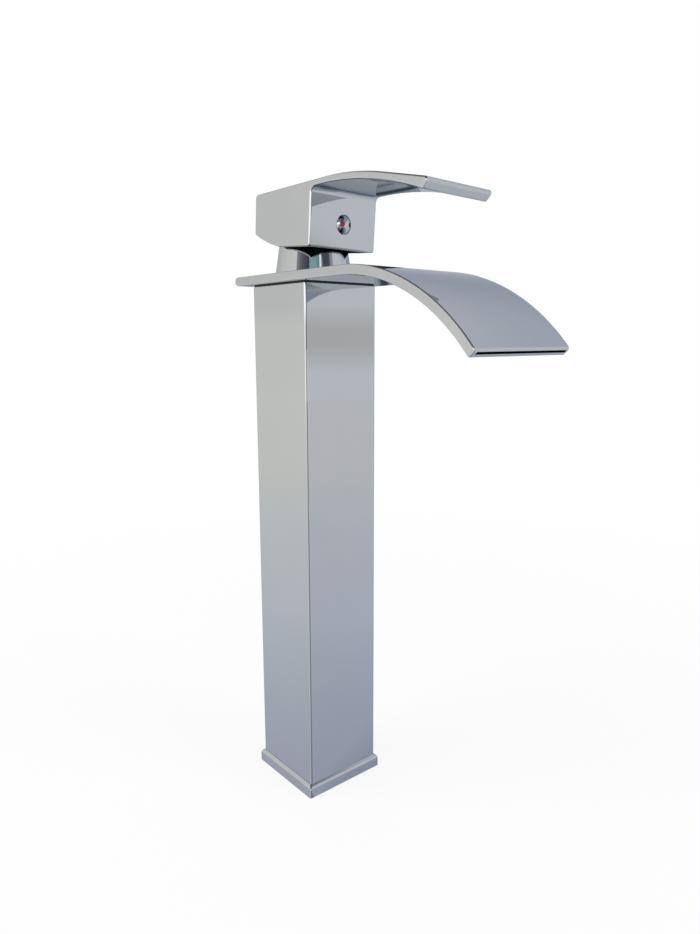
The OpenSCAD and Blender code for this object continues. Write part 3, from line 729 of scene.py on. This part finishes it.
# %% Wires
class Wire:
    """The output of a node, with the sums that are used on it."""

    def __init__(self, finish, socket):
        self.finish, self.socket = finish, socket

    def sum(self, operation, *values):
        return self.finish.node("Math", {"operation": operation}, dict(enumerate(values)))

    def __add__(self, other):
        return self.sum("ADD", self, other)

    def __sub__(self, other):
        return self.sum("SUBTRACT", self, other)

    def __mul__(self, other):
        return self.sum("MULTIPLY", self, other)

    def __rsub__(self, other):
        return self.sum("SUBTRACT", other, self)

    __radd__ = __add__
    __rmul__ = __mul__


# %% Finishes
class Finish:
    """A material of this object, started from one physical shader."""

    def __init__(self, name, **fixed):
        self.material = bpy.data.materials.new(name)
        self.material.use_nodes = True
        self.tree = self.material.node_tree
        self.shader = self.tree.nodes["Principled BSDF"]
        for key, value in fixed.items():
            self.shader.inputs[key.replace("_", " ")].default_value = value
        self.place = self.node("TexCoord", {}, {}, "Object")

    def node(self, kind, settings, sockets, output=0):
        """Adds a node: its settings first, then the values or wires of its sockets."""
        node = self.tree.nodes.new("ShaderNode" + kind)
        for key, value in settings.items():
            if key == "stops":
                set_stops(node.color_ramp, value)
            else:
                setattr(node, key, value)
        for key, value in sockets.items():
            socket = find_socket(node.inputs, key)
            if isinstance(value, Wire):
                self.tree.links.new(value.socket, socket)
            else:
                socket.default_value = value
        return Wire(self, find_socket(node.outputs, output))

    def feed(self, **wires):
        """Joins wires to the shader's own sockets."""
        for key, wire in wires.items():
            self.tree.links.new(wire.socket, self.shader.inputs[key.replace("_", " ")])
        return self

    def noise(self, size, detail=2.0, stretch=(1, 1, 1)):
        """Soft noise whose lumps are about size metres across."""
        at = self.node("Mapping", {}, {"Vector": self.place, "Scale": stretch})
        return self.node("TexNoise", {}, {"Vector": at, "Scale": 1 / size, "Detail": detail})

    def span(self, wire, low, high, start=0.35, end=0.65):
        """Spreads a wire over a range of values. Noise stays mostly near a half."""
        return self.node("MapRange", {}, {
            "Value": wire, "From Min": start, "From Max": end, "To Min": low, "To Max": high})

    def blend(self, first, second, factor, kind="MIX"):
        """A colour made of two colours."""
        return self.node("Mix", {"data_type": "RGBA", "blend_type": kind}, {
            "A_Color": first, "B_Color": second, "Factor_Float": factor}, "Result_Color")

    def bump(self, height, depth):
        """Bends the normal by a height pattern that is depth metres deep."""
        return self.feed(Normal=self.node("Bump", {}, {
            "Height": height, "Distance": depth, "Strength": 1.0}))


# %% Sockets, ramps and painting
def find_socket(sockets, key):
    """A socket by its number, identifier or name."""
    if isinstance(key, int):
        return sockets[key]
    found = [s for s in sockets if s.identifier == key]
    return found[0] if found else sockets[key]


def set_stops(ramp, stops):
    """Gives a colour ramp its stops: each is one or two places and the colour there."""
    while len(ramp.elements) > 1:
        ramp.elements.remove(ramp.elements[0])
    pairs = [(place, colour) for *places, colour in stops for place in places]
    ramp.elements[0].position = pairs[0][0]
    ramp.elements[0].color = (*pairs[0][1], 1)
    for place, colour in pairs[1:]:
        ramp.elements.new(place).color = (*colour, 1)


def paint(obj, *finishes):
    """Gives an object its finishes, one for each material slot."""
    obj.data.materials.clear()
    for finish in finishes:
        obj.data.materials.append(finish.material)


# %% [markdown]
# ### Chrome
#
# Chrome plate reflects a little over half of the light, with a faint blue cast that grows
# when one chrome face shows in another. Seen along its face it reflects hardly more than
# seen straight, which the edge tint takes care of. What tells it from a perfect mirror is
# slight: the casting under it is polished by hand, so the face is not quite flat, and
# wiping leaves a faint haze in places. Both are kept very small here, because at arm's
# length chrome still looks clean. The drawn tube of the column gets a long, straight
# waviness, and the castings a rounder one.

# %% Chrome finishes
CHROME = (0.52, 0.562, 0.60, 1)
EDGE_TINT = (0.70, 0.73, 0.76, 1)
CLEAN, HAZY = 0.028, 0.05


def chrome(name, wave_size, wave_depth, stretch=(1, 1, 1)):
    """Polished chrome plate with its waviness and a faint wiped haze."""
    plate_finish = Finish(name, Metallic=1.0, Roughness=0.03, Specular_Tint=EDGE_TINT)
    cloud = plate_finish.noise(0.05, 3)
    fine = plate_finish.noise(0.0012, 2, (1, 1, 0.15))
    rough = plate_finish.span(cloud, CLEAN, HAZY) + plate_finish.span(fine, -0.006, 0.006)
    tint = plate_finish.blend(CHROME, tuple(c * 0.97 for c in CHROME[:3]) + (1,),
                              plate_finish.span(cloud, 0, 1))
    plate_finish.feed(Base_Color=tint, Roughness=rough)
    return plate_finish.bump(plate_finish.noise(wave_size, 1, stretch), wave_depth)


chrome_column = chrome("chrome_column", 0.02, 0.000004, (1, 1, 0.12))
chrome_flange = chrome("chrome_flange", 0.012, 0.000003)
chrome_spout = chrome("chrome_spout", 0.03, 0.000006)
chrome_bonnet = chrome("chrome_bonnet", 0.015, 0.000002)
chrome_lever = chrome("chrome_lever", 0.03, 0.000006)
chrome_button = chrome("chrome_button", 0.01, 0.000002)
print("nodes in one chrome finish:", len(chrome_button.tree.nodes))

# %% [markdown]
# ### The bare casting inside the lever
#
# Plate hardly reaches into the hollow head, so the casting there is bare, dull and a little
# grainy. Its near-black tone is painted shade, the shadow inside the hollow. It matters in the
# picture because the bonnet mirrors it.

# %% Bare casting
# Near-black tones: painted shade of the hollow.
casting = Finish("bare_casting_painted_shade", Metallic=0.3)
grain = casting.noise(0.0015, 4)
casting.feed(
    Base_Color=casting.blend((0.012, 0.012, 0.013, 1), (0.03, 0.03, 0.032, 1),
                             casting.span(grain, 0, 1)),
    Roughness=casting.span(grain, 0.65, 0.85),
).bump(grain, 0.0002)
print("nodes in the casting's finish:", len(casting.tree.nodes))

# %% [markdown]
# ### Brass, steel, rubber, plastic, ceramic and enamel
#
# These are inside, and show only when the lever lifts or from below. Turned brass and
# steel keep fine rings from the tool, so a ring wave bends their normals. Rubber is dark
# and dull with a fine grain. Moulded plastic has the slight orange skin of its mould.
# Lapped ceramic is almost smooth, with faint grey clouds. Enamel is a glossy drop.


# %% Finishes of the inner works
def turned_metal(name, colour, dark, ring_size):
    """Machined metal with fine tool rings about the upright axis."""
    metal = Finish(name, Metallic=1.0)
    rings = metal.node("TexWave", {"wave_type": "RINGS", "rings_direction": "Z"}, {
        "Vector": metal.place, "Scale": 1 / ring_size, "Distortion": 0.6, "Detail": 1.0})
    cloud = metal.noise(0.008, 4)
    metal.feed(Base_Color=metal.blend((*colour, 1), (*dark, 1), metal.span(cloud, 0, 1)),
               Roughness=metal.span(cloud, 0.22, 0.36) + rings * 0.05)
    return metal.bump(rings, 0.00002)


def moulded(name, colour, dark, rough, skin_size, skin_depth, **fixed):
    """Rubber, plastic or ceramic with a fine skin and slight clouds in its colour."""
    skin = Finish(name, **fixed)
    cloud = skin.noise(0.01, 3)
    grain_wire = skin.noise(skin_size, 2)
    skin.feed(Base_Color=skin.blend((*colour, 1), (*dark, 1), skin.span(cloud, 0, 1)),
              Roughness=skin.span(grain_wire, rough - 0.05, rough + 0.05))
    return skin.bump(grain_wire, skin_depth)


brass = turned_metal("machined_brass", (0.72, 0.53, 0.26), (0.62, 0.43, 0.19), 0.0006)
steel = turned_metal("turned_steel", (0.55, 0.55, 0.56), (0.47, 0.47, 0.48), 0.0004)
rubber = moulded("black_rubber", (0.03, 0.03, 0.032), (0.05, 0.05, 0.05), 0.7, 0.0004, 0.00003)
housing_plastic = moulded("housing_plastic", (0.80, 0.80, 0.78), (0.74, 0.74, 0.71), 0.38,
                          0.0006, 0.00001, Coat_Weight=0.05)
glide_plastic = moulded("glide_plastic", (0.85, 0.82, 0.72), (0.79, 0.75, 0.64), 0.42,
                        0.0008, 0.00001)
ceramic = moulded("lapped_ceramic", (0.88, 0.88, 0.86), (0.82, 0.82, 0.81), 0.16,
                  0.0003, 0.000002, Coat_Weight=0.3)
red_enamel = moulded("red_enamel", (0.62, 0.015, 0.02), (0.50, 0.01, 0.015), 0.2,
                     0.0005, 0.000001, Coat_Weight=0.4)
blue_enamel = moulded("blue_enamel", (0.01, 0.022, 0.05), (0.008, 0.016, 0.035), 0.3,
                      0.0005, 0.000001, Specular_IOR_Level=0.2)
print("finishes so far:", len(bpy.data.materials))

# %% [markdown]
# ### Painting
#
# A piece takes one finish, except where one casting or tube shows two. There the faces that
# were noted while modelling take the second one: black rubber in the column's neck, painted
# shade for the joint, and the bare hollow of the lever, painted near black as its shade. The
# inner works stay as the frame holds them and are only painted.

# %% Paint the shells and the inner works
paint(column, chrome_column, rubber)
paint(flange, chrome_flange)
paint(plate, chrome_spout)
paint(bonnet, chrome_bonnet)
paint(lever, chrome_lever, casting)
paint(button, chrome_button)
paint(hot_dot, red_enamel)
paint(cold_dot, blue_enamel)
for piece, second in ((column, neck_faces), (lever, hollow_faces)):
    for index in second:
        piece.data.polygons[index].material_index = 1

INNER_WORKS = [
    (rubber, ("base_gasket", "port_seals", "housing_oring", "bonnet_seal")),
    (brass, ("foot_plug", "valve_body", "retaining_nut", "stem")),
    (housing_plastic, ("cartridge_base", "cartridge_housing", "disc_carrier")),
    (glide_plastic, ("glide_ring", "rotor")),
    (ceramic, ("fixed_disc", "moving_disc")),
    (steel, ("stem_pin", "set_screw")),
]
for finish, members in INNER_WORKS:
    for member in members:
        paint(nodes[member], finish)
print("inner nodes painted:", sum(len(members) for _, members in INNER_WORKS))

# %% [markdown]
# ## The studio
#
# Chrome shows its surroundings more than itself, so the studio is part of the look. The
# floor and the world are plain white to the camera and in reflections. Round the faucet
# stands a glowing tent that only reflections see, painted with the light and shade of a
# studio: warm on the left, pale on the right and cool grey behind, with a bright window left
# of the camera and a grey slot right of it. Under it lies a glowing table sheet, painted pale
# and lighter with distance. Lamps and world light everything else at a plain level.


# %% Floor and world
def light_path(tree):
    """One where a camera, glossy or transmission ray looks, and nought for the rest."""
    path = tree.nodes.new("ShaderNodeLightPath")
    total = path.outputs["Is Camera Ray"]
    for name in ("Is Glossy Ray", "Is Transmission Ray"):
        either = tree.nodes.new("ShaderNodeMath")
        either.operation, either.use_clamp = "ADD", True
        tree.links.new(total, either.inputs[0])
        tree.links.new(path.outputs[name], either.inputs[1])
        total = either.outputs[0]
    return total


def mixed_output(tree, first, second, factor, output):
    """Shows the first shader where the factor is nought and the second where it is one."""
    mix = tree.nodes.new("ShaderNodeMixShader")
    tree.links.new(factor, mix.inputs[0])
    tree.links.new(first.outputs[0], mix.inputs[1])
    tree.links.new(second.outputs[0], mix.inputs[2])
    tree.links.new(mix.outputs[0], output.inputs["Surface"])


WORLD_LEVEL = 0.6
SHADOW_NEAR, SHADOW_FAR, SHADOW_SHARE = 0.2, 0.7, 0.85

world = bpy.data.worlds.new("studio")
bpy.context.scene.world = world
world.use_nodes = True
tree = world.node_tree
plain = tree.nodes["Background"]
plain.inputs["Color"].default_value = (1, 1, 1, 1)
plain.inputs["Strength"].default_value = WORLD_LEVEL
white = tree.nodes.new("ShaderNodeBackground")
white.inputs["Color"].default_value = (1, 1, 1, 1)
mixed_output(tree, plain, white, light_path(tree), tree.nodes["World Output"])

floor = add(bpy.ops.mesh.primitive_plane_add, size=40)
floor.name = "floor"
floor_finish = Finish("pale_floor", Roughness=0.8, Base_Color=(0.9, 0.9, 0.9, 1))
tree = floor_finish.tree
from_foot = floor_finish.node("VectorMath", {"operation": "LENGTH"},
                              {0: floor_finish.place}, "Value")
white_share = floor_finish.span(from_foot, SHADOW_SHARE, 1, SHADOW_NEAR, SHADOW_FAR)
seen = Wire(floor_finish, light_path(tree)) * white_share
glow = tree.nodes.new("ShaderNodeEmission")
mixed_output(tree, floor_finish.shader, glow, seen.socket, tree.nodes["Material Output"])
paint(floor, floor_finish)
floor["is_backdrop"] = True
print("floor in m:", tuple(floor.dimensions.xy))


# %% Helpers of the studio
def for_reflections(obj):
    """Hides a studio piece from everything but glossy rays."""
    obj.visible_camera = obj.visible_diffuse = obj.visible_shadow = False
    obj.visible_transmission = obj.visible_volume_scatter = False
    obj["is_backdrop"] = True


def glow_by(finish, colour):
    """Makes the finish a plain glow of a colour wire."""
    glow_node = finish.tree.nodes.new("ShaderNodeEmission")
    finish.tree.links.new(colour.socket, glow_node.inputs["Color"])
    finish.tree.links.new(glow_node.outputs[0], finish.tree.nodes["Material Output"].inputs[0])
    finish.tree.nodes.remove(finish.shader)


LEVEL = 0.27


class Compass:
    """Direction, height over LEVEL and reach round an upright axis, as wires of a finish."""

    def __init__(self, finish, turn_x=0.0, turn_y=0.0):
        self.finish = finish
        x = finish.node("SeparateXYZ", {}, {"Vector": finish.place}, "X")
        y, z = (Wire(finish, x.socket.node.outputs[name]) for name in "YZ")
        self.reach = finish.node("VectorMath", {"operation": "LENGTH"}, {
            0: finish.node("CombineXYZ", {}, {"X": x, "Y": y})}, "Value")
        self.azimuth = x.sum("ARCTAN2", x - turn_x, turn_y - y) * (180 / math.pi)
        self.height = x.sum("ARCTAN2", z - LEVEL, self.reach) * (180 / math.pi)

    def ring(self, stops):
        """Colours round the compass: 0 is -y, 90 is +x, 180 is +y."""
        turned = [(*((at + 180) / 360 for at in places), colour) for *places, colour in stops]
        return self.finish.node("ValToRGB", {"stops": turned},
                                {"Fac": self.azimuth * (1 / 360) + 0.5}, "Color")

    def climb(self, low_ring, high_ring, start, end):
        """Goes from one ring of colours to another between two heights in degrees."""
        factor = self.finish.span(self.height, 0, 1, start, end)
        return self.finish.blend(low_ring, high_ring, factor)


# %% [markdown]
# ### The tent
#
# The tent is a sphere that glows by direction, hung with a few plain tones. These tones are
# painted light and shade. As the camera sees it, warm cloth hangs on the left, pale cloth on
# the right and cool grey cloth behind the faucet, each with shaded tones of its own. Left of
# the camera is a window with a dark board above it, and right of the camera a grey slot with
# a strip lamp above it. Green glass is above the camera. Rings of these tones run from under
# the horizon to the roof, and blend on the way up. Each entry is one or two directions and
# the tone there. The lowest two rings differ only on the right.

# %% Tones of the studio
# Painted light and shade: glows of window and lamp, lit cloth, and its shaded tones, among them
# a shadow band on the right.
WINDOW, LOW_WINDOW, STRIP_LAMP = (1.95, 1.75, 1.7), (1.5, 1.35, 1.3), (1.4, 1.35, 1.35)
WARM, WARM_GREY, WHITE = (1.0, 0.94, 0.85), (0.83, 0.79, 0.75), (0.95, 0.92, 0.9)
PALE, SHADOW_BAND = (0.84, 0.83, 0.84), (0.7, 0.66, 0.63)
COOL_GREY, COOL_SHADE = (0.6, 0.61, 0.68), (0.52, 0.53, 0.57)
GREY, DARK, BLACK = (0.36, 0.36, 0.37), (0.18, 0.18, 0.19), (0.06, 0.07, 0.09)
GLASS, DEEP_GLASS = (0.36, 0.52, 0.5), (0.2, 0.42, 0.4)

# %% Tent
TENT_R = 2.5
LOWEST = [(-180, COOL_SHADE), (-118, COOL_GREY), (-95, WARM_GREY), (-85, -3, WARM),
          (2, 50, LOW_WINDOW), (60, 84, GREY), (88, 104, WHITE)]
BELOW = LOWEST + [(115, 180, PALE)]
HORIZON = LOWEST + [(115, 132.3, SHADOW_BAND), (134, 180, PALE)]
LOW_WALL = [(-180, COOL_SHADE), (-125, COOL_GREY), (-105, WARM_GREY), (-3, WARM),
            (2, 75, WINDOW), (85, 112, COOL_SHADE), (118, 180, PALE)]
HIGH_WALL = [(-180, -130, COOL_GREY), (-105, WARM_GREY), (-3, WARM), (0, GREY), (14, DARK),
             (38, BLACK), (41, 60, GLASS), (64, 71, DEEP_GLASS), (73, 76, STRIP_LAMP),
             (78, 114, GREY), (118, 148, PALE), (165, 180, COOL_GREY)]
CEILING = [(-180, -145, PALE), (-130, -60, WARM_GREY), (-40, 132, DARK), (154, 180, PALE)]
ROOF = [(-180, -145, PALE), (-135, 158, DARK), (168, 180, PALE)]
CLIMBS = [(HORIZON, -3.6, -1.2), (LOW_WALL, 0.3, 2.3), (HIGH_WALL, 15.5, 16.5),
          (CEILING, 27, 52), (ROOF, 44, 54)]
ROOF_END = (53, 59)

tent = add(bpy.ops.mesh.primitive_uv_sphere_add, segments=64, ring_count=32, radius=TENT_R)
tent.name = "tent"
tent_finish = Finish("tent_painted_light")
around = Compass(tent_finish)
walls = around.ring(BELOW)
for stops, from_height, to_height in CLIMBS:
    walls = around.climb(walls, around.ring(stops), from_height, to_height)
glow_by(tent_finish, around.climb(walls, (*DARK, 1), *ROOF_END))
paint(tent, tent_finish)
for_reflections(tent)
print("nodes of the tent:", len(tent_finish.tree.nodes))

# %% [markdown]
# ### The table sheet
#
# The lower part of the column mirrors the table round its foot. The sheet glows with the
# table's light and shade painted in: it gets lighter with its distance from the foot, its sides
# follow the tent, and a sector on the camera's side is painted shade. Far out it takes up the
# window too, as a painted glare, so that the window doesn't end at the horizon.

# %% Table sheet
SHEET_TONES = [(0, COOL_GREY), (0.11, PALE), (0.4, WARM)]
# These multiply the sheet's tones, and paint its shade and glare.
FULL, HALF_SHADE, COOL_CAST, BACK_CAST, GLARE = (
    (1, 1, 1), (0.42, 0.41, 0.43), (0.85, 0.86, 0.92), (0.68, 0.71, 0.76), (1.3, 1.25, 1.25))
LEFT_SIDE = [(-180, -130, BACK_CAST), (-100, FULL)]
RIGHT_SIDE = [(58, 100, HALF_SHADE), (114, 150, COOL_CAST), (180, BACK_CAST)]
NEAR_SIDES = LEFT_SIDE + [(46, FULL)] + RIGHT_SIDE
FAR_SIDES = LEFT_SIDE + [(-8, FULL), (4, 50, GLARE)] + RIGHT_SIDE
FAR_FROM, SHEET_LIFT = 1.0, 0.3 * MM

sheet = add(bpy.ops.mesh.primitive_circle_add, vertices=96, radius=TENT_R, fill_type="NGON")
sheet.name = "table_sheet"
sheet.location.z = SHEET_LIFT
sheet_finish = Finish("table_sheet")
around = Compass(sheet_finish, half, -half)
tones = sheet_finish.node("ValToRGB", {"stops": SHEET_TONES},
                          {"Fac": around.reach * (1 / TENT_R)}, "Color")
is_far = sheet_finish.span(around.reach, 0, 1, FAR_FROM, TENT_R)
sides = sheet_finish.blend(around.ring(NEAR_SIDES), around.ring(FAR_SIDES), is_far)
glow_by(sheet_finish, sheet_finish.blend(tones, sides, 1.0, "MULTIPLY"))
paint(sheet, sheet_finish)
for_reflections(sheet)
print("nodes of the sheet:", len(sheet_finish.tree.nodes))

# %% [markdown]
# ### The curtain
#
# A dark curtain stands behind the faucet, out of the camera's sight. It gives the chrome its
# dark lines: the band at the crest of the plate and the folds under the blade of the lever. It
# glows black above, and below it glows in bluish folds whose light and shade are painted.

# %% Dark curtain
CURTAIN_FROM, CURTAIN_TO, CURTAIN_AWAY, CURTAIN_H = -137.5, -118, 0.9, 0.75
BLACK_FROM, BLACK_TO, FOLD_SLANT = 0.4, 0.44, 5.6
FOLD = (0.33, 0.37, 0.41)
FOLDS = [(0, 0.385, FOLD), (0.415, 0.465, BLACK), (0.505, 0.575, FOLD), (0.635, DARK),
         (0.69, 1, FOLD)]


def on_ground(azimuth, reach):
    """A place on the floor from its compass direction and its reach."""
    angle = math.radians(azimuth)
    return Vector((reach * math.sin(angle), -reach * math.cos(angle), 0))


left, right = (on_ground(a, CURTAIN_AWAY) for a in (CURTAIN_FROM, CURTAIN_TO))
across = right - left
curtain = add(bpy.ops.mesh.primitive_plane_add, (across.length, CURTAIN_H, 1), size=1,
              location=(across.length / 2, 0, CURTAIN_H / 2), rotation=(math.pi / 2, 0, 0))
curtain.name = "curtain"
curtain.rotation_euler.z = math.atan2(across.y, across.x)
curtain.location = left
cloth = Finish("curtain_cloth")
along = cloth.node("SeparateXYZ", {}, {"Vector": cloth.place}, "X")
up = Wire(cloth, along.socket.node.outputs["Z"])
folds = cloth.node("ValToRGB", {"stops": FOLDS}, {"Fac": up + along * FOLD_SLANT}, "Color")
glow_by(cloth, cloth.blend(folds, (0.03, 0.035, 0.04, 1),
                           cloth.span(up, 0, 1, BLACK_FROM, BLACK_TO)))
paint(curtain, cloth)
for_reflections(curtain)
print("curtain in m:", round(across.length, 2), "wide,", CURTAIN_H, "high")

# %% [markdown]
# ### Lamps
#
# Two large soft lamps model the rubber, the enamel and the floor's shadow. Reflections
# don't see them, so the chrome keeps to the tent.

# %% Lamps
LAMP_AIM = Vector((0.03, 0, 0.15))


def soft_lamp(name, place, size, power):
    """A square soft lamp that points at the middle of the faucet."""
    lamp = bpy.data.objects.new(name, bpy.data.lights.new(name, "AREA"))
    bpy.context.scene.collection.objects.link(lamp)
    lamp.data.size = size
    lamp.data.energy = power
    lamp.location = place
    aim = LAMP_AIM - Vector(place)
    lamp.rotation_euler = aim.to_track_quat("-Z", "Y").to_euler()
    lamp.visible_glossy = False
    return lamp


soft_lamp("left_lamp", (-0.6, -1.3, 1.2), 1.2, 16)
soft_lamp("right_lamp", (1.4, 0.6, 1.1), 1.0, 10)
print("lamps:", len(bpy.data.lights))

# %% [markdown]
# ## Finish
#
# The last cell compares the dressed model's box with the solids' box. The shells were
# drawn at their real sizes, so the two agree to a fraction of a millimetre.

# %% Size and finish
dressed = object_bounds()
for axis_name, a, b, c, d in zip("xyz", cad_box[0], dressed[0], cad_box[1], dressed[1]):
    print(axis_name, "mm:", [round(v / MM, 2) for v in (a, b, c, d)])
